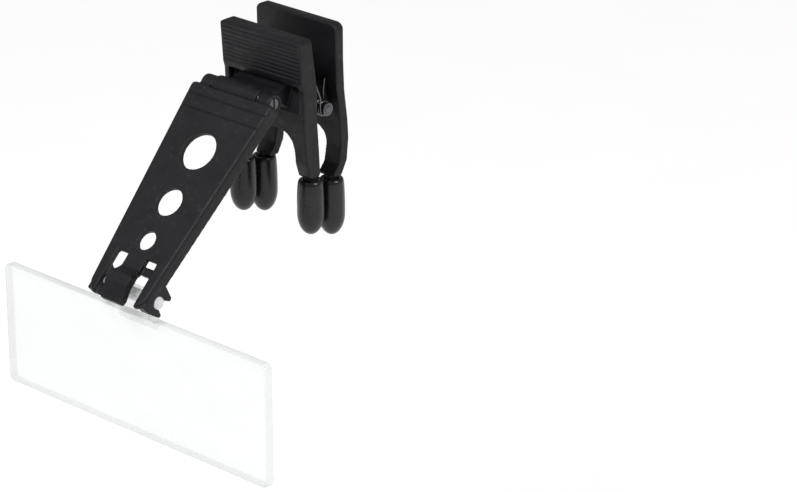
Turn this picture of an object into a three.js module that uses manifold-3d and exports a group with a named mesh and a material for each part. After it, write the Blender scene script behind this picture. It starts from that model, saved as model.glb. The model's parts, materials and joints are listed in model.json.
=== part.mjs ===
// Clip-on flip-up lens for spectacles, in millimetres. +Z up, -Y forwards (away from the wearer).
// The origin is the grip point, between the front and the rear rubber tips.
import * as THREE from 'three';
import { mergeVertices } from 'three/addons/utils/BufferGeometryUtils.js';
import Module from 'manifold-3d';

const wasm = await Module();
wasm.setup();

// ---- driving dimensions -------------------------------------------------------------------
const JAW_HALF = 12.8;                 // half width of both jaws
const LEG_IN = 9.0;                    // inner face of the front legs, from the middle
const REAR_LEG_IN = 8.0;
const ARCH_FRONT_TOP = 19.5;
const ARCH_REAR_TOP = 18.0;
const CLIP_PIVOT = { y: 0.73, z: 24.0, r: 1.0 };
const FLIP_PIVOT = { y: -14.98, z: 28.94, r: 0.9 };
const KNUCKLE = { half: 7.1, lugIn: 7.5, lugOut: 10.9, lugR: 2.3, counterbore: 1.6, recess: 1.2 };
const TIP_X = 11.05;
const TIP_R = 3.2;
const TIP_FRONT = { y: -3.8, top: 7.8, bottom: -5.9 };
const TIP_REAR = { y: 3.15, top: 6.3, bottom: -8.0 };
const ARM_TOP = { y: -17.6, z: 30.0 }; // middle of the arm's top edge, on its front face
const ARM_LEAN = 45;                   // degrees below the horizontal, hanging forwards
const ARM_HALF_TOP = 13.05;
const ARM_HALF_TIP = 9.2;
const ARM_LEN = 55.0;
const ARM_PLATE = 1.3;                 // thickness of the arm's face
const ARM_DEPTH = 3.05;                // depth of its side flanges
const ARM_WALL = 1.2;
const ARM_HOLES = [[15.8, 4.67], [29.3, 3.52], [39.5, 2.41]]; // distance down the arm, radius
const SLOT_TOP = 43.7;
const SLOT = { inner: 2.9, outer: 6.45 };
const AXLE = { l: 51.1, b: 4.2, r: 1.5 }; // lens axle, in the arm's own length and depth
const LENS = { w: 86, h: 30, t: 2.2, top: -14.0, y: -50.2 };
const BARREL_R = 2.75;                 // hinge barrel at the top of the arm
const RIB_PITCH = 1.0;
const PAD_TOP = 42.3;
const PAD_BOTTOM = 32.2;
const PAD_FACE_TOP = -8.8;             // the pad leans: its face is further forward at the top
const PAD_FACE_BOTTOM = -8.1;
const RIB_DEPTH = 0.32;
const SMALLEST_CUT = 0.12;             // rounded corners shorter than this stay sharp
const SLIVER = 0.003;                  // edges shorter than this are merged

// ---- solids -------------------------------------------------------------------------------
function solid(geometry) {
  geometry.deleteAttribute('normal');
  geometry.deleteAttribute('uv');
  const merged = mergeVertices(geometry, 1e-4);
  return new wasm.Manifold(new wasm.Mesh({
    numProp: 3,
    vertProperties: new Float32Array(merged.attributes.position.array),
    triVerts: new Uint32Array(merged.index.array),
  }));
}

function toGeometry(body) {
  const mesh = body.simplify(SLIVER).getMesh();
  const geometry = new THREE.BufferGeometry();
  geometry.setAttribute('position', new THREE.BufferAttribute(new Float32Array(mesh.vertProperties), 3));
  geometry.setIndex(new THREE.BufferAttribute(new Uint32Array(mesh.triVerts), 1));
  const flat = geometry.toNonIndexed();
  flat.computeVertexNormals();
  return flat;
}

const shapeOf = (points) => new THREE.Shape(points.map(([u, v]) => new THREE.Vector2(u, v)));

// a polygon whose corners are rounded; each point is [u, v, radius], and a corner that hardly
// turns is left as it is
function roundedShape(points, segments = 5) {
  const outline = [];
  const n = points.length;
  for (let i = 0; i < n; i++) {
    const [u, v, r = 0] = points[i];
    const here = new THREE.Vector2(u, v);
    const before = new THREE.Vector2(...points[(i + n - 1) % n].slice(0, 2)).sub(here);
    const after = new THREE.Vector2(...points[(i + 1) % n].slice(0, 2)).sub(here);
    const half = Math.acos(before.clone().normalize().dot(after.clone().normalize())) / 2;
    const cut = Math.min(r / Math.tan(half), before.length() * 0.49, after.length() * 0.49);
    if (cut < SMALLEST_CUT) {
      outline.push(here);
      continue;
    }
    const start = here.clone().add(before.setLength(cut));
    const end = here.clone().add(after.setLength(cut));
    const bend = new THREE.QuadraticBezierCurve(start, here, end);
    outline.push(...bend.getPoints(segments));
  }
  return new THREE.Shape(outline);
}

function extrude(shape, depth, bevel = 0, segments = 2) {
  return new THREE.ExtrudeGeometry(shape, {
    depth: depth - 2 * bevel, bevelEnabled: bevel > 0, bevelThickness: bevel, bevelSize: bevel,
    bevelOffset: -bevel, bevelSegments: segments, curveSegments: 16, steps: 1,
  }).translate(0, 0, bevel);
}

const basis = (x, y, z, origin) => new THREE.Matrix4().makeBasis(x, y, z).setPosition(origin);
const vec = (x, y, z) => new THREE.Vector3(x, y, z);

// a side profile drawn in (y, z), running across the part from x0 to x1
function across(shape, x0, x1, bevel = 0) {
  const place = basis(vec(0, 1, 0), vec(0, 0, 1), vec(1, 0, 0), vec(x0, 0, 0));
  return solid(extrude(shape, x1 - x0, bevel).applyMatrix4(place));
}

// a front view drawn in (x, z), running back from y0 to y1
function through(shape, y0, y1, bevel = 0) {
  const place = basis(vec(1, 0, 0), vec(0, 0, 1), vec(0, -1, 0), vec(0, y1, 0));
  return solid(extrude(shape, y1 - y0, bevel).applyMatrix4(place));
}

const box = (x0, x1, y0, y1, z0, z1) => solid(
  new THREE.BoxGeometry(x1 - x0, y1 - y0, z1 - z0)
    .translate((x0 + x1) / 2, (y0 + y1) / 2, (z0 + z1) / 2));

// a round bar along X
const bar = (r, x0, x1, y, z, sides = 24) => solid(
  new THREE.CylinderGeometry(r, r, x1 - x0, sides).rotateZ(Math.PI / 2)
    .translate((x0 + x1) / 2, y, z));

const ring = (rOut, rIn, x0, x1, y, z, sides = 28) =>
  bar(rOut, x0, x1, y, z, sides).subtract(bar(rIn, x0 - 1, x1 + 1, y, z, sides));

const mirrorX = (body) => body.mirror([1, 0, 0]);
const both = (body) => body.add(mirrorX(body));

function lathe(points, sides, x, y) {
  const profile = points.map(([r, z]) => new THREE.Vector2(r, z));
  return solid(new THREE.LatheGeometry(profile, sides).rotateX(Math.PI / 2).translate(x, y, 0));
}

// the front view of a jaw; it stands proud of the side faces, so only its round corners cut
function plateOutline(bottom, top, radius) {
  const half = JAW_HALF + 0.2;
  return roundedShape([[-half, bottom], [-half, top, radius], [half, top, radius], [half, bottom]]);
}

// ---- front jaw: ribbed thumb pad, channel with side walls, ears for both pivots, two legs ----
function frontJaw() {
  const side = roundedShape([
    [PAD_FACE_TOP, PAD_TOP, 0.7], [PAD_FACE_BOTTOM, PAD_BOTTOM, 0.9], [-7.6, PAD_BOTTOM - 1.6, 0.9],
    [-7.4, 22.0, 2.0], [-6.6, 12.0, 2.0], [-5.5, 8.4, 0.9],
    [-2.1, 8.4, 0.9], [-2.5, 15.6, 2.0], [-2.95, 22.0, 2.0], [-3.0, 30.3, 2.0],
    [-4.5, 40.9, 0.9], [-4.75, PAD_TOP + 0.3, 0.7],
  ]);
  const front = plateOutline(7.0, PAD_TOP + 0.4, 2.1);
  const arch = roundedShape([
    [-LEG_IN, 0], [-LEG_IN, ARCH_FRONT_TOP, 5.5], [LEG_IN, ARCH_FRONT_TOP, 5.5], [LEG_IN, 0],
  ], 8);
  const hollow = shapeOf([
    [-7.0, 39.6], [-6.2, 33.6], [-3.9, 31.4], [-3.9, 29.0], [-5.35, 24.4], [-5.35, 21.8],
    [0, 21.8], [0, 39.6],
  ]);
  const recess = roundedShape([
    [-12, PAD_BOTTOM - 1.1], [-5.4, PAD_BOTTOM - 1.1, 0.6], [-5.4, 30.0, 1.5], [-7.6, 24.2, 1.0],
    [-12, 22.0],
  ]);
  let jaw = across(side, -JAW_HALF, JAW_HALF, 0.25)
    .intersect(through(front, -12, 0))
    .subtract(through(arch, -12, 2))
    .subtract(across(hollow, -JAW_HALF + 1.9, JAW_HALF - 1.9))
    .subtract(across(recess, -JAW_HALF + 1.5, JAW_HALF - 1.5));
  for (let z = PAD_BOTTOM + 0.9; z < PAD_TOP - 0.6; z += RIB_PITCH) {
    const up = (z - PAD_BOTTOM) / (PAD_TOP - PAD_BOTTOM);
    const face = THREE.MathUtils.lerp(PAD_FACE_BOTTOM, PAD_FACE_TOP, up);
    const groove = shapeOf([[face - 0.6, z - 0.42], [face + RIB_DEPTH, z - 0.1],
      [face + RIB_DEPTH, z + 0.1], [face - 0.6, z + 0.42]]);
    jaw = jaw.subtract(across(groove, -JAW_HALF + 0.7, JAW_HALF - 0.7));
  }
  const peg = bar(1.6, -1, 1, 0, 0).rotate([0, 90, 0]).scale([1, 1, 5.2]);
  jaw = jaw.add(both(peg.translate([TIP_X, TIP_FRONT.y, 4.2])));
  return jaw.add(both(clipEar())).add(knuckleBracket())
    .subtract(bar(CLIP_PIVOT.r + 0.06, -14, 14, CLIP_PIVOT.y, CLIP_PIVOT.z))
    .subtract(bar(FLIP_PIVOT.r + 0.06, -14, 14, FLIP_PIVOT.y, FLIP_PIVOT.z));
}

function clipEar() {
  const profile = new THREE.Shape();
  profile.moveTo(-5.6, 30.2);
  profile.lineTo(-5.6, 21.9);
  profile.lineTo(-2.0, 21.9);
  profile.absarc(CLIP_PIVOT.y, CLIP_PIVOT.z, 2.1, -Math.PI / 2, Math.PI / 2, false);
  profile.lineTo(-2.6, 30.2);
  return across(profile, 5.0, 6.8);
}

// a round knuckle on a slim neck, so that the arm's lugs and top edge can swing past it
function knuckleBracket() {
  const { y, z } = FLIP_PIVOT;
  const neck = roundedShape([
    [-5.0, 30.9], [-6.6, 30.9, 1.5], [-9.0, z + 1.2, 2.0], [y, z + 1.3], [y, z - 1.9],
    [-9.0, z - 2.2, 2.0], [-6.6, 24.6, 1.5], [-5.0, 24.6],
  ]);
  return bar(BARREL_R, -KNUCKLE.half, KNUCKLE.half, y, z, 36)
    .add(across(neck, -KNUCKLE.half, KNUCKLE.half));
}

// ---- rear jaw: plain thumb plate, ears for the clip pivot, two bowed legs -------------------
function rearJaw() {
  const side = roundedShape([
    [3.1, 44.0, 0.7], [3.2, 36.0], [3.4, 28.7, 3.0], [4.2, 23.7, 2.0], [4.8, 14.0, 3.0], [4.0, 9.5, 1.5],
    [1.6, 6.6, 0.7], [4.9, 6.6, 0.9], [6.8, 10.0, 2.0], [7.4, 15.5, 3.0], [7.1, 20.0, 3.0],
    [6.1, 27.5, 4.0], [5.8, 35.0], [5.8, 44.0, 0.7],
  ]);
  const front = plateOutline(5.0, 44.1, 3.1);
  const arch = roundedShape([
    [-REAR_LEG_IN, 0], [-REAR_LEG_IN, ARCH_REAR_TOP, 5.0],
    [REAR_LEG_IN, ARCH_REAR_TOP, 5.0], [REAR_LEG_IN, 0],
  ], 8);
  const peg = bar(1.6, -1, 1, 0, 0).rotate([0, 90, 0]).scale([1, 1, 4.6]);
  return across(side, -JAW_HALF, JAW_HALF, 0.25)
    .intersect(through(front, 0, 9))
    .subtract(through(arch, -1, 10))
    .add(both(peg.translate([TIP_X, TIP_REAR.y, 2.6])))
    .add(both(rearEar()))
    .subtract(bar(CLIP_PIVOT.r + 0.06, -14, 14, CLIP_PIVOT.y, CLIP_PIVOT.z));
}

function rearEar() {
  const profile = new THREE.Shape();
  profile.moveTo(4.6, 20.4);
  profile.lineTo(4.2, 28.6);
  profile.lineTo(CLIP_PIVOT.y, CLIP_PIVOT.z + 2.1);
  profile.absarc(CLIP_PIVOT.y, CLIP_PIVOT.z, 2.1, Math.PI / 2, Math.PI * 1.5, false);
  return across(profile, 7.0, 8.8);
}

// ---- rubber tips: round-ended sleeves over the pegs of the legs -----------------------------
function tip(x, { y, top, bottom }, pegTop, pegBottom) {
  const bore = bar(1.65, -1, 1, 0, 0).rotate([0, 90, 0])
    .scale([1, 1, (pegTop - pegBottom) / 2]).translate([x, y, (pegTop + pegBottom) / 2]);
  const profile = [[0, bottom]];
  const nose = 0.38 * (top - bottom);
  for (let i = 1; i <= 8; i++) {
    const a = (i / 8) * Math.PI / 2;
    profile.push([TIP_R * Math.sin(a), bottom + nose * (1 - Math.cos(a))]);
  }
  profile.push([TIP_R, top - 5.0], [TIP_R - 0.15, top - 2.0], [TIP_R - 0.4, top - 0.5],
    [TIP_R - 0.9, top], [0, top]);
  return lathe(profile, 32, x, y).subtract(bore);
}

// ---- clip spring: coils round the pin outside the ears, one leg to each jaw -----------------
function torsionSpring() {
  const wire = 0.28;
  const r = 1.65;
  const turns = 4;
  const rise = 0.66;
  const x0 = 9.35;
  const steps = turns * 14;
  const points = [vec(x0, 3.4 - wire - 0.2, 30.5), vec(x0, CLIP_PIVOT.y + r + 0.05, 27.5)];
  for (let i = 0; i <= steps; i++) {
    const a = (i / steps) * (turns * 2 * Math.PI - Math.PI);
    points.push(vec(x0 + rise * a / (2 * Math.PI), CLIP_PIVOT.y + r * Math.cos(a),
      CLIP_PIVOT.z - r * Math.sin(a)));
  }
  const end = points[points.length - 1].x;
  points.push(vec(end, CLIP_PIVOT.y - r - 0.05, 27.0), vec(end, -2.4, 30.5));
  const section = new THREE.Shape();
  section.absarc(0, 0, wire, 0, Math.PI * 2, false);
  const path = new THREE.CatmullRomCurve3(points, false, 'centripetal');
  return solid(new THREE.ExtrudeGeometry(section,
    { steps: 90, curveSegments: 4, bevelEnabled: false, extrudePath: path }));
}

// ---- flip arm, drawn in its own frame: x across, y down its length, z into its depth --------
const lean = THREE.MathUtils.degToRad(ARM_LEAN);
const armMatrix = basis(vec(1, 0, 0), vec(0, -Math.cos(lean), -Math.sin(lean)),
  vec(0, Math.sin(lean), -Math.cos(lean)), vec(0, ARM_TOP.y, ARM_TOP.z));
const armHalf = (l) => ARM_HALF_TOP + (ARM_HALF_TIP - ARM_HALF_TOP) * Math.min(l / 52, 1);

function placeOnArm(body) {
  return body.transform(armMatrix.elements);
}

// a face outline drawn in (x, length), running from depth b0 to b1
function armFace(shape, b0, b1, bevel = 0) {
  return solid(extrude(shape, b1 - b0, bevel, 3).translate(0, 0, b0));
}

// a side profile drawn in (length, depth), running across from x0 to x1
function armSide(shape, x0, x1, bevel = 0) {
  const place = basis(vec(0, 1, 0), vec(0, 0, 1), vec(1, 0, 0), vec(x0, 0, 0));
  return solid(extrude(shape, x1 - x0, bevel).applyMatrix4(place));
}

function armOutline(inset, top, end) {
  const w = (l) => armHalf(l) - inset;
  return roundedShape([
    [-w(0), top, 1.3], [w(0), top, 1.3], [w(52), end - 2.5, 2.0],
    [w(52) - 1.6, end, 2.0], [-w(52) + 1.6, end, 2.0], [-w(52), end - 2.5, 2.0],
  ]);
}

function hook() {
  const outline = roundedShape([
    [43.5, 0.6], [46.9, 3.05, 1.0], [48.3, 6.9, 0.3], [49.2, 7.1, 0.3], [49.75, 5.6, 0.3],
    [52.45, 5.6, 0.3], [53.0, 6.9, 0.3], [53.8, 6.6, 0.4], [54.6, 3.1, 1.0], [54.4, 0.6],
  ]);
  const lowerProng = roundedShape([
    [51.2, 0.6], [52.45, 3.6], [52.45, 5.6, 0.3], [53.0, 6.9, 0.3], [53.8, 6.6, 0.4],
    [54.6, 3.1, 1.0], [54.4, 0.6],
  ]);
  const seat = bar(AXLE.r + 0.08, 5, 12, AXLE.l, AXLE.b, 32);
  const mouth = armSide(shapeOf([[49.85, 4.6], [52.35, 4.6], [52.35, 9], [49.85, 9]]), 5, 12);
  return armSide(outline, 8.0, 9.25, 0.15).add(armSide(lowerProng, 6.7, 9.1))
    .subtract(seat).subtract(mouth);
}

function tongue() {
  const bend = roundedShape([
    [42.0, 0, 0], [46.9, 0.0, 1.5], [49.0, -1.9, 1.2], [51.6, -1.9, 1.8], [54.6, -0.6, 0.8],
    [55.6, -0.7, 0.3], [55.6, 1.0, 0.4], [54.4, 1.1, 0.8], [51.2, 0.1, 1.8], [49.5, 0.1, 1.2],
    [47.5, 1.3, 1.0], [42.0, 1.3, 0],
  ]);
  const face = roundedShape([
    [-SLOT.inner, 42], [-SLOT.inner, 48.3, 0.6], [-3.6, 49.6, 0.8], [-3.3, 55.8, 1.0],
    [3.3, 55.8, 1.0], [3.6, 49.6, 0.8], [SLOT.inner, 48.3, 0.6], [SLOT.inner, 42],
  ]);
  return armSide(bend, -4, 4, 0).intersect(armFace(face, -3, 3));
}

function flipArm() {
  const axis = { l: -1.1, b: 2.6 };
  const shell = armFace(armOutline(0, 0, ARM_LEN), 0, 8, 0.6)
    .intersect(box(-20, 20, -2, 60, -1, ARM_DEPTH));
  const pocket = armFace(armOutline(ARM_WALL, -4, 70), ARM_PLATE, 9);
  let arm = shell.subtract(pocket);
  for (const l of [3.0, 6.4]) {
    arm = arm.subtract(armSide(shapeOf([[l - 0.35, -0.5], [l + 0.35, -0.5], [l + 0.1, 0.35],
      [l - 0.1, 0.35]]), -15, 15));
  }
  for (const [l, r] of ARM_HOLES) {
    const cutter = new THREE.CylinderGeometry(r, r, 8, 40).rotateX(Math.PI / 2).translate(0, l, 0);
    arm = arm.subtract(solid(cutter));
  }
  const slot = roundedShape([[-SLOT.outer, 60], [-SLOT.outer, SLOT_TOP, 0.7],
    [SLOT.outer, SLOT_TOP, 0.7], [SLOT.outer, 60]]);
  const neck = shapeOf([[-SLOT.inner, 40], [SLOT.inner, 40], [SLOT.inner, 46], [-SLOT.inner, 46]]);
  arm = arm.subtract(armFace(slot, -4, 9).subtract(armFace(neck, -5, 10)));
  arm = arm.subtract(armFace(shapeOf([[-4, 44.0], [4, 44.0], [4, 60], [-4, 60]]), -4, 9));
  const endCut = armFace(shapeOf([[7.8, ARM_LEN - 7], [12, ARM_LEN - 7], [12, 60], [7.8, 60]]),
    ARM_PLATE + 0.6, 9);
  const web = box(SLOT.inner - 0.4, SLOT.outer + 0.4, 45.2, 47.2, 0.9, 2.4);
  arm = arm.subtract(both(endCut)).add(both(hook())).add(tongue()).add(web);
  const { lugIn, lugOut, lugR, counterbore, recess } = KNUCKLE;
  const seat = armSide(shapeOf([[-1.9, 0.6], [0.6, 0.3], [3.6, 0.6], [3.6, 1.4], [0.9, 3.6]]), lugIn, lugOut);
  const lug = bar(lugR, lugIn, lugOut, axis.l, axis.b, 36).add(seat);
  arm = arm.subtract(bar(BARREL_R + 0.15, -lugIn, lugIn, axis.l, axis.b, 36)).add(both(lug))
    .subtract(bar(FLIP_PIVOT.r + 0.06, -lugOut - 1, lugOut + 1, axis.l, axis.b))
    .subtract(both(bar(counterbore, lugOut - recess, lugOut + 1, axis.l, axis.b, 28)));
  return placeOnArm(arm);
}

// ---- lens, its bracket and its axle ---------------------------------------------------------
const axlePoint = vec(0, AXLE.l, AXLE.b).applyMatrix4(armMatrix);

function lensPlate() {
  const [h, t, b] = [LENS.w / 2, LENS.top, LENS.top - LENS.h];
  const outline = roundedShape([[-h, b, 1.4], [-h, t, 1.4], [h, t, 1.4], [h, b, 1.4]], 6);
  return through(outline, LENS.y - LENS.t / 2, LENS.y + LENS.t / 2, 0.2);
}

function lensBracket() {
  const half = 6.15;
  const back = LENS.y + LENS.t / 2 + 0.05;
  const barrel = bar(2.3, -half, half, axlePoint.y, axlePoint.z, 28);
  const web = box(-half, half, axlePoint.y - 1.0, back, LENS.top + 0.05, axlePoint.z);
  const foot = box(-half, half, back - 0.3, back + 0.9, LENS.top - 3.2, axlePoint.z - 1.2);
  const room = box(-half - 1, half + 1, -70, back, LENS.top - 10, LENS.top + 0.05);
  return barrel.add(web).add(foot).subtract(room)
    .subtract(bar(AXLE.r + 0.05, -10, 10, axlePoint.y, axlePoint.z));
}

// ---- small hardware -------------------------------------------------------------------------
// a shaft that runs between two pressed-on caps
const shaft = (pivot, half) => bar(pivot.r, -half, half, pivot.y, pivot.z);
const cap = (pivot, rOut, x0, x1) => ring(rOut, pivot.r + 0.02, x0, x1, pivot.y, pivot.z);

function flipScrew() {
  const { y, z, r } = FLIP_PIVOT;
  const { lugOut, counterbore, recess } = KNUCKLE;
  const headFrom = lugOut - recess + 0.05;
  const slot = box(lugOut - 0.7, lugOut + 1, y - 0.22, y + 0.22, z - 3, z + 3);
  return bar(r, -lugOut + 0.1, headFrom + 0.2, y, z)
    .add(bar(counterbore - 0.15, headFrom, lugOut - 0.15, y, z, 28)).subtract(slot);
}

function flipNut() {
  const { y, z, r } = FLIP_PIVOT;
  const { lugOut, counterbore, recess } = KNUCKLE;
  return bar(counterbore - 0.05, -lugOut + 0.25, -lugOut + recess - 0.05, y, z, 6)
    .subtract(bar(r + 0.02, -lugOut, 0, y, z));
}

// ---- assembly -------------------------------------------------------------------------------
const LOOKS = {
  blackPlastic: { color: 0x202226, roughness: 0.55, metalness: 0 },
  blackRubber: { color: 0x0e0e10, roughness: 0.25, metalness: 0 },
  steel: { color: 0xb8bac0, roughness: 0.3, metalness: 1 },
  darkSteel: { color: 0x66676c, roughness: 0.3, metalness: 1 },
  clearAcrylic: { color: 0xf0f4f6, roughness: 0.08, metalness: 0, transparent: true, opacity: 0.4 },
};

const part = new THREE.Group();
function addPiece(name, body, look) {
  const mesh = new THREE.Mesh(toGeometry(body), new THREE.MeshStandardMaterial(LOOKS[look]));
  mesh.name = name;
  part.add(mesh);
}

addPiece('front_jaw', frontJaw(), 'blackPlastic');
addPiece('rear_jaw', rearJaw(), 'blackPlastic');
addPiece('flip_arm', flipArm(), 'blackPlastic');
addPiece('lens', lensPlate(), 'clearAcrylic');
addPiece('lens_bracket', lensBracket(), 'clearAcrylic');
addPiece('lens_axle', bar(AXLE.r, -9.3, 9.3, axlePoint.y, axlePoint.z, 28), 'clearAcrylic');
addPiece('clip_pin', shaft(CLIP_PIVOT, 12.7), 'steel');
addPiece('clip_spacer', ring(1.6, CLIP_PIVOT.r + 0.05, -4.9, 4.9, CLIP_PIVOT.y, CLIP_PIVOT.z), 'steel');
addPiece('flip_screw', flipScrew(), 'darkSteel');
addPiece('flip_nut', flipNut(), 'darkSteel');
for (const [label, sign] of [['left', 1], ['right', -1]]) {
  const side = (body) => (sign > 0 ? body : mirrorX(body));
  addPiece(`tip_front_${label}`, tip(sign * TIP_X, TIP_FRONT, 9, -1.3), 'blackRubber');
  addPiece(`tip_rear_${label}`, tip(sign * TIP_X, TIP_REAR, 9, -2.3), 'blackRubber');
  addPiece(`clip_spring_${label}`, side(torsionSpring()), 'darkSteel');
  addPiece(`clip_pin_cap_${label}`, side(cap(CLIP_PIVOT, 1.6, 12.15, 12.6)), 'darkSteel');
  addPiece(`flip_washer_${label}`, side(cap(FLIP_PIVOT, 2.3, KNUCKLE.half + 0.05, KNUCKLE.lugIn - 0.05)),
    'steel');
}

export default part;
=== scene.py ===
import json
import math

import bmesh
import bpy
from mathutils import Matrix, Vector


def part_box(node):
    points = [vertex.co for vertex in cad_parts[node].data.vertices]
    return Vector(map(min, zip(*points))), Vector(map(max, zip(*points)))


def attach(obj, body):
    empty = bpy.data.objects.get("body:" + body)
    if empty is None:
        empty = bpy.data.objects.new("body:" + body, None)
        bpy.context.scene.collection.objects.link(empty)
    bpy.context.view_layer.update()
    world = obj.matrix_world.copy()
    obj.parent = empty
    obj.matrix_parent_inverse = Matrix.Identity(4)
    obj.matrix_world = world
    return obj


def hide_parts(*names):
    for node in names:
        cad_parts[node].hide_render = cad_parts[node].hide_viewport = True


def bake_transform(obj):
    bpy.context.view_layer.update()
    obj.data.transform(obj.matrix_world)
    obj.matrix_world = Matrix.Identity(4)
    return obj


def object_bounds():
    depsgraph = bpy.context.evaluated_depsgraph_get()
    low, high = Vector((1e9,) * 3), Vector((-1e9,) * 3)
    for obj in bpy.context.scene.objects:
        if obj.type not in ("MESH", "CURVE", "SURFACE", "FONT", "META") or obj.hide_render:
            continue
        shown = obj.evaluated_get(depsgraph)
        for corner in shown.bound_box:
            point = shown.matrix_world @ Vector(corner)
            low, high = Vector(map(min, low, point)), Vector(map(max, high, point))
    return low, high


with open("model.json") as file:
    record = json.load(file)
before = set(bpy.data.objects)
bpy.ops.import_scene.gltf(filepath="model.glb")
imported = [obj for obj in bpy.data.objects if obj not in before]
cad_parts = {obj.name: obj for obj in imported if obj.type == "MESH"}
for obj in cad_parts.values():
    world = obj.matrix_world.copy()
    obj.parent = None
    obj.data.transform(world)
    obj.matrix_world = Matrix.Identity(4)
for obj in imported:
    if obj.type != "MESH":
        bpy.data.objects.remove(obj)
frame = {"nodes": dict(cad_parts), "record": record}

cad_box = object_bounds()
MM = 0.001
JOINTS = {joint["name"]: joint for joint in frame["record"]["behaviour"]["joints"]}
CLIP_AXIS = Vector(JOINTS["clip_open"]["pos_m"])
PIN_RADIUS = 1.0 * MM
SCREW_BORE = 0.92 * MM
TIP_NOSE = 0.38      # the share of a rubber tip's height that its round nose takes


# ---- materials ------------------------------------------------------------------------------

class Shader:
    """A Principled material with a few short ways to add procedural texture to it."""

    def __init__(self, name, **sockets):
        self.material = bpy.data.materials.new(name)
        self.material.use_nodes = True
        self.tree = self.material.node_tree
        self.bsdf = self.tree.nodes["Principled BSDF"]
        for socket, value in sockets.items():
            self.bsdf.inputs[socket.replace("_", " ")].default_value = value
        self.place = self.tree.nodes.new("ShaderNodeTexCoord").outputs["Object"]

    def node(self, kind, inputs=(), **settings):
        made = self.tree.nodes.new("ShaderNode" + kind)
        for key, value in settings.items():
            setattr(made, key, value)
        for key, value in dict(inputs).items():
            if isinstance(value, bpy.types.NodeSocket):
                self.tree.links.new(value, made.inputs[key])
            else:
                made.inputs[key].default_value = value
        return made

    def noise(self, size, detail=3.0, stretch=(1, 1, 1)):
        """Noise whose features are about this size, in metres."""
        mapped = self.node("Mapping", {"Vector": self.place, "Scale": stretch})
        made = self.node("TexNoise", {"Vector": mapped.outputs["Vector"], "Scale": 1 / size,
                                      "Detail": detail})
        return made.outputs["Fac"]

    def spread(self, value, low, high, start=0.3, end=0.7):
        """value's start..end range spread to low..high."""
        made = self.node("MapRange", {"Value": value, "From Min": start, "From Max": end,
                                      "To Min": low, "To Max": high})
        return made.outputs["Result"]

    def blend(self, factor, dark, light):
        made = self.node("Mix", {"Factor": factor}, data_type="RGBA")
        for key, value in ((6, dark), (7, light)):
            if isinstance(value, bpy.types.NodeSocket):
                self.tree.links.new(value, made.inputs[key])
            else:
                made.inputs[key].default_value = (*value, 1)
        return made.outputs[2]

    def link(self, output, socket):
        self.tree.links.new(output, self.bsdf.inputs[socket])

    def bump(self, height, strength, depth, under=None):
        inputs = {"Height": height, "Strength": strength, "Distance": depth}
        if under is not None:
            inputs["Normal"] = under
        return self.node("Bump", inputs).outputs["Normal"]


def black_plastic():
    """Injection-moulded plastic: fine spark grain, slight flow mottling, and a painted highlight that makes
    edges a little paler in patches.
    """
    s = Shader("black_plastic", Specular_IOR_Level=0.26)
    mottle = s.spread(s.noise(9 * MM, 4), 0, 1)
    body = s.blend(mottle, (0.0050, 0.0052, 0.0064), (0.0095, 0.0098, 0.0118))
    edge = s.node("NewGeometry").outputs["Pointiness"]
    # painted highlight: sharp edges (found by pointiness) are painted paler and broken into patches by noise
    edge_highlight = s.spread(edge, 0, 0.55, 0.53, 0.62)
    patchy_edge_highlight = s.node("Math", {0: edge_highlight, 1: s.spread(s.noise(1.2 * MM, 3), 0.25, 1)}, operation="MULTIPLY")
    s.link(s.blend(patchy_edge_highlight.outputs["Value"], body, (0.026, 0.027, 0.030)), "Base Color")
    s.link(s.spread(s.noise(2.5 * MM, 4), 0.40, 0.60), "Roughness")
    swell = s.bump(s.noise(5 * MM, 2), 0.25, 0.05 * MM)
    s.link(s.bump(s.noise(0.16 * MM, 2), 0.55, 0.02 * MM, swell), "Normal")
    return s.material


def black_rubber():
    """Dipped soft rubber: glossy, with a slow ripple, a few dull rubbed patches and fine dust pits."""
    s = Shader("black_rubber", Specular_IOR_Level=0.32, Coat_Weight=0.12, Coat_Roughness=0.10)
    s.link(s.blend(s.spread(s.noise(2 * MM, 3), 0, 1), (0.0045, 0.0045, 0.005), (0.010, 0.010, 0.011)),
           "Base Color")
    s.link(s.spread(s.noise(1.6 * MM, 4), 0.20, 0.32), "Roughness")
    ripple = s.bump(s.noise(4.0 * MM, 2, (1, 1, 0.45)), 0.12, 0.06 * MM)
    s.link(s.bump(s.noise(0.3 * MM, 2), 0.12, 0.01 * MM, ripple), "Normal")
    return s.material


def steel(name, tint, stretch):
    """Drawn steel with fine draw marks along one direction."""
    s = Shader(name, Metallic=1.0, Specular_IOR_Level=0.5)
    low = tuple(0.72 * c for c in tint)
    s.link(s.blend(s.spread(s.noise(0.8 * MM, 4, stretch), 0, 1), low, tint), "Base Color")
    s.link(s.spread(s.noise(0.5 * MM, 4, stretch), 0.16, 0.38), "Roughness")
    s.link(s.bump(s.noise(0.12 * MM, 2, stretch), 0.3, 0.01 * MM), "Normal")
    return s.material


def clear_acrylic(name, veil, tint):
    """Polished clear acrylic, see-through with a thin white veil that thickens at grazing angles."""
    s = Shader(name, IOR=1.49, Coat_Weight=0.4, Coat_Roughness=0.03)
    smear = s.spread(s.noise(14 * MM, 5, (1, 1, 2.4)), 0, 1, 0.42, 0.72)
    s.link(s.blend(smear, tint, tuple(0.96 * c for c in tint)), "Base Color")
    s.link(s.spread(smear, 0.04, 0.12, 0, 1), "Roughness")
    grazing = s.node("LayerWeight", {"Blend": 0.25}).outputs["Facing"]
    thick = s.node("Math", {0: grazing, 1: s.spread(smear, 0.5 * veil, 0.8 * veil, 0, 1)},
                   operation="MULTIPLY_ADD")
    thick.inputs[2].default_value = veil
    s.link(thick.outputs["Value"], "Alpha")
    s.link(s.bump(s.noise(22 * MM, 2), 0.06, 0.05 * MM), "Normal")
    return s.material


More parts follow.
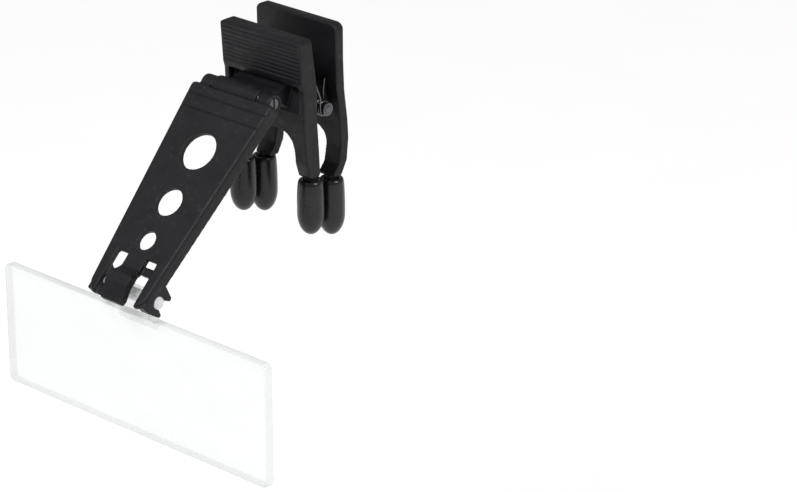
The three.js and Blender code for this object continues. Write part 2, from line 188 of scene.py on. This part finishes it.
LOOKS = {
    "black_plastic": black_plastic(),
    "black_rubber": black_rubber(),
    "steel": steel("steel", (0.70, 0.70, 0.72), (0.08, 1, 1)),
    "dark_steel": steel("dark_steel", (0.13, 0.13, 0.14), (1, 0.6, 0.6)),
    "clear_acrylic": clear_acrylic("clear_acrylic", 0.22, (0.93, 0.94, 0.945)),
    # greyer, denser acrylic: on the lens rim it is painted shade for the dark edges that light bent inside
    # the plate gives; the lens axle uses it as its grey plastic
    "acrylic_edge": clear_acrylic("acrylic_edge", 0.45, (0.78, 0.80, 0.81)),
}


# ---- building pieces ------------------------------------------------------------------------

def finished(name, mesh, node, look, smooth_angle=35.0):
    """Makes the piece that stands for one CAD node and rides on that node's body."""
    piece = bpy.data.objects.new(name, mesh)
    bpy.context.scene.collection.objects.link(piece)
    mesh.shade_smooth()
    mesh.set_sharp_from_angle(angle=math.radians(smooth_angle))
    mesh.materials.clear()
    mesh.materials.append(LOOKS[look])
    body = next(b for b, nodes in frame["record"]["behaviour"]["bodies"].items() if node in nodes)
    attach(piece, body)
    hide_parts(node)
    return piece


def softened(node, voxel, passes, keep, look):
    """The CAD solid as a moulding: every edge and corner is rounded over by about a voxel or two."""
    mesh = frame["nodes"][node].data.copy()
    bm = bmesh.new()
    bm.from_mesh(mesh)
    bmesh.ops.remove_doubles(bm, verts=bm.verts, dist=1e-6)
    bm.to_mesh(mesh)
    bm.free()
    rough = bpy.data.objects.new("rough", mesh)
    bpy.context.scene.collection.objects.link(rough)
    remesh = rough.modifiers.new("remesh", "REMESH")
    remesh.mode = "VOXEL"
    remesh.voxel_size = voxel
    smooth = rough.modifiers.new("smooth", "SMOOTH")
    smooth.iterations = passes
    if keep < 1:
        rough.modifiers.new("fewer", "DECIMATE").ratio = keep
    evaluated = rough.evaluated_get(bpy.context.evaluated_depsgraph_get())
    result = bpy.data.meshes.new_from_object(evaluated)
    bpy.data.objects.remove(rough)
    return finished("look_" + node, result, node, look, 80.0)


def revolved(profile, axis, centre, steps):
    """A closed profile of (distance along the axis, radius) turned round an X or Z axis through centre."""
    bm = bmesh.new()
    rings = []
    for along, radius in profile:
        if radius < 1e-7:
            offset = Vector((along, 0, 0)) if axis == "X" else Vector((0, 0, along))
            rings.append([bm.verts.new(centre + offset)])
            continue
        ring = []
        for k in range(steps):
            a = 2 * math.pi * k / steps
            c, s = radius * math.cos(a), radius * math.sin(a)
            offset = Vector((along, c, s)) if axis == "X" else Vector((c, s, along))
            ring.append(bm.verts.new(centre + offset))
        rings.append(ring)
    closes = profile[0][1] > 1e-7
    pairs = list(zip(rings, rings[1:])) + ([(rings[-1], rings[0])] if closes else [])
    for first, second in pairs:
        for k in range(steps):
            m = (k + 1) % steps
            corners = []
            for v in (first[k % len(first)], first[m % len(first)],
                      second[m % len(second)], second[k % len(second)]):
                if v not in corners:
                    corners.append(v)
            bm.faces.new(corners)
    bmesh.ops.recalc_face_normals(bm, faces=bm.faces)
    mesh = bpy.data.meshes.new("turned")
    bm.to_mesh(mesh)
    bm.free()
    return mesh


def chamfered(half, outer, inner, edge):
    """The section of a turned bar (inner 0) or ring, with its outer corners broken."""
    section = [(-half, outer - edge), (-half + 0.3 * edge, outer - 0.3 * edge), (-half + edge, outer),
               (half - edge, outer), (half - 0.3 * edge, outer - 0.3 * edge), (half, outer - edge)]
    return section + [(half, inner), (-half, inner)] if inner else [(-half, 0)] + section + [(half, 0)]


def turned_node(node, inner, edge, look):
    """A pin, cap, washer or tube along X, turned to the size of its CAD node."""
    low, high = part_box(node)
    centre, size = (low + high) / 2, high - low
    profile = chamfered(size.x / 2, size.y / 2, inner, edge)
    mesh = revolved(profile, "X", centre, 64)
    return finished("look_" + node, mesh, node, look)


def rubber_tip(node):
    """A round-nosed sleeve: rounded mouth, slightly flared body and a blunt nose."""
    low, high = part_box(node)
    centre = Vector(((low.x + high.x) / 2, (low.y + high.y) / 2, low.z))
    radius, height = (high.x - low.x) / 2, high.z - low.z
    profile = [(0, 0)]
    for k in range(1, 17):
        a = k / 16 * math.pi / 2
        profile.append((TIP_NOSE * height * (1 - math.cos(a)), radius * math.sin(a)))
    for z, r in ((0.50, 1.0), (0.62, 0.995), (0.75, 0.98), (0.86, 0.955), (0.92, 0.93),
                 (0.955, 0.905), (0.98, 0.86), (0.995, 0.79), (1.0, 0.70), (0.995, 0.60),
                 (0.98, 0.54), (0.95, 0.52), (0.30, 0.52)):
        profile.append((z * height, r * radius))
    profile.append((0.30 * height, 0))
    mesh = revolved(profile, "Z", centre, 72)
    return finished("look_" + node, mesh, node, "black_rubber", 60.0)


def lens_plate():
    """The clear plate: flat polished faces, rounded corners and a small ground bevel all round."""
    low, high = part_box("lens")
    middle, half = (low + high) / 2, (high - low) / 2
    corner, bevel = 1.5 * MM, 0.28 * MM
    outline = []
    for sx, sz, start in ((1, 1, 0), (-1, 1, 90), (-1, -1, 180), (1, -1, 270)):
        for k in range(9):
            a = math.radians(start + k * 90 / 8)
            outline.append(Vector((sx * (half.x - corner) + corner * math.cos(a), 0,
                                   sz * (half.z - corner) + corner * math.sin(a))))
    bm = bmesh.new()
    faces = []
    for y in (-half.y, half.y):
        loop = [bm.verts.new(middle + p + Vector((0, y, 0))) for p in outline]
        faces.append(loop)
        bm.faces.new(loop)
    count = len(outline)
    for k in range(count):
        m = (k + 1) % count
        bm.faces.new((faces[0][k], faces[0][m], faces[1][m], faces[1][k]))
    bmesh.ops.recalc_face_normals(bm, faces=bm.faces)
    rims = [e for e in bm.edges if abs(e.verts[0].co.y - e.verts[1].co.y) < 1e-7]
    bmesh.ops.bevel(bm, geom=rims, offset=bevel, segments=3, profile=0.5, affect="EDGES")
    mesh = bpy.data.meshes.new("lens")
    bm.to_mesh(mesh)
    bm.free()
    piece = finished("look_lens", mesh, "lens", "clear_acrylic", 25.0)
    # painted shade: the rim faces get the greyer, denser acrylic to stand in for the dark edges of a thick
    # clear plate
    mesh.materials.append(LOOKS["acrylic_edge"])
    for face in mesh.polygons:
        face.material_index = 0 if abs(face.normal.y) > 0.99 else 1
    return piece


def torsion_spring(label, side):
    """Round wire wound on the clip pin, with one leg on each jaw."""
    node = "clip_spring_" + label
    low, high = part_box(node)
    wire, turns, rise, radius = 0.28 * MM, 3.5, 0.66 * MM, 1.65 * MM
    slack = 0.05 * MM
    x0 = (low.x if side > 0 else -high.x) + wire
    y, z = CLIP_AXIS.y, CLIP_AXIS.z
    route = [(x0, high.y - wire, high.z - wire), (x0, y + radius + slack, z + 3.5 * MM)]
    steps = int(turns * 24)
    for k in range(steps + 1):
        a = 2 * math.pi * turns * k / steps
        route.append((x0 + rise * a / (2 * math.pi), y + radius * math.cos(a), z - radius * math.sin(a)))
    end = route[-1][0]
    route += [(end, y - radius - slack, z + 3.0 * MM), (end, low.y + wire, high.z - wire)]
    curve = bpy.data.curves.new(node, "CURVE")
    curve.dimensions = "3D"
    curve.bevel_depth = wire
    curve.bevel_resolution = 4
    curve.use_fill_caps = True
    line = curve.splines.new("POLY")
    line.points.add(len(route) - 1)
    for point, (px, py, pz) in zip(line.points, route):
        point.co = (side * px, py, pz, 1)
    bent = bpy.data.objects.new("bent", curve)
    bpy.context.scene.collection.objects.link(bent)
    mesh = bpy.data.meshes.new_from_object(bent.evaluated_get(bpy.context.evaluated_depsgraph_get()))
    bpy.data.objects.remove(bent)
    piece = bpy.data.objects.new("look_" + node, mesh)
    bpy.context.scene.collection.objects.link(piece)
    mesh.shade_smooth()
    mesh.materials.clear()
    mesh.materials.append(LOOKS["dark_steel"])
    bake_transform(piece)
    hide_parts(node)
    return piece


for node in ("front_jaw", "rear_jaw", "flip_arm"):
    softened(node, 0.16 * MM, 3, 0.45, "black_plastic")
softened("lens_bracket", 0.12 * MM, 4, 0.5, "clear_acrylic")
for node in ("flip_screw", "flip_nut"):
    softened(node, 0.06 * MM, 2, 0.6, "dark_steel")

turned_node("clip_pin", 0, 0.2 * MM, "dark_steel")
turned_node("lens_axle", 0, 0.25 * MM, "acrylic_edge")
turned_node("clip_spacer", PIN_RADIUS + 0.06 * MM, 0.15 * MM, "steel")
for label, side in (("left", 1), ("right", -1)):
    turned_node("clip_pin_cap_" + label, PIN_RADIUS + 0.02 * MM, 0.12 * MM, "dark_steel")
    turned_node("flip_washer_" + label, SCREW_BORE, 0.05 * MM, "dark_steel")
    rubber_tip("tip_front_" + label)
    rubber_tip("tip_rear_" + label)
    torsion_spring(label, side)
lens_plate()


# ---- floor, light and camera ----------------------------------------------------------------

def floor():
    """A plain pale sheet well below the part, lit evenly by a glow of its own."""
    drop = 60 * MM
    size = 6.0
    bm = bmesh.new()
    bmesh.ops.create_grid(bm, x_segments=1, y_segments=1, size=size)
    mesh = bpy.data.meshes.new("floor")
    bm.to_mesh(mesh)
    bm.free()
    plane = bpy.data.objects.new("floor", mesh)
    plane.location.z = cad_box[0][2] - drop
    bpy.context.scene.collection.objects.link(plane)
    s = Shader("floor", Roughness=0.9, Specular_IOR_Level=0.1,
               Emission_Color=(1, 1, 1, 1), Emission_Strength=0.77)
    s.link(s.blend(s.spread(s.noise(60 * MM, 3), 0, 1), (0.29, 0.29, 0.29), (0.31, 0.31, 0.31)), "Base Color")
    mesh.materials.append(s.material)


def area_light(name, place, target, size, power):
    """A soft rectangular lamp that looks from place to target."""
    light = bpy.data.lights.new(name, "AREA")
    light.shape = "RECTANGLE"
    light.size, light.size_y = size
    light.energy = power
    lamp = bpy.data.objects.new(name, light)
    lamp.location = place
    lamp.rotation_euler = (Vector(target) - Vector(place)).to_track_quat("-Z", "Y").to_euler()
    bpy.context.scene.collection.objects.link(lamp)


def lighting():
    """An even white surround, a key lamp at the front and a rim lamp on the right."""
    world = bpy.data.worlds.new("studio")
    world.use_nodes = True
    world.node_tree.nodes["Background"].inputs["Color"].default_value = (1.0, 1.0, 1.0, 1)
    world.node_tree.nodes["Background"].inputs["Strength"].default_value = 0.30
    bpy.context.scene.world = world
    area_light("key", (-0.10, -0.65, 0.75), (0, -0.02, 0.0), (0.35, 0.35), 6.0)
    area_light("rim", (0.70, 0.10, 0.55), (0, -0.02, 0.0), (0.25, 0.5), 4.0)
    bpy.context.scene.view_settings.view_transform = "Standard"
    bpy.context.scene.view_settings.look = "None"


def camera():
    """A long lens from the front right, a little above the part."""
    azimuth, elevation = math.radians(42.66), math.radians(22.56)
    back = Vector((math.sin(azimuth) * math.cos(elevation), -math.cos(azimuth) * math.cos(elevation),
                   math.sin(elevation)))
    data = bpy.data.cameras.new("camera")
    data.sensor_width = 36.0
    data.lens = 149.8
    eye = bpy.data.objects.new("camera", data)
    eye.location = Vector((509.7, -514.9, 287.5)) * MM
    eye.rotation_euler = back.to_track_quat("Z", "Y").to_euler()
    bpy.context.scene.collection.objects.link(eye)
    bpy.context.scene.camera = eye


floor()
lighting()
camera()
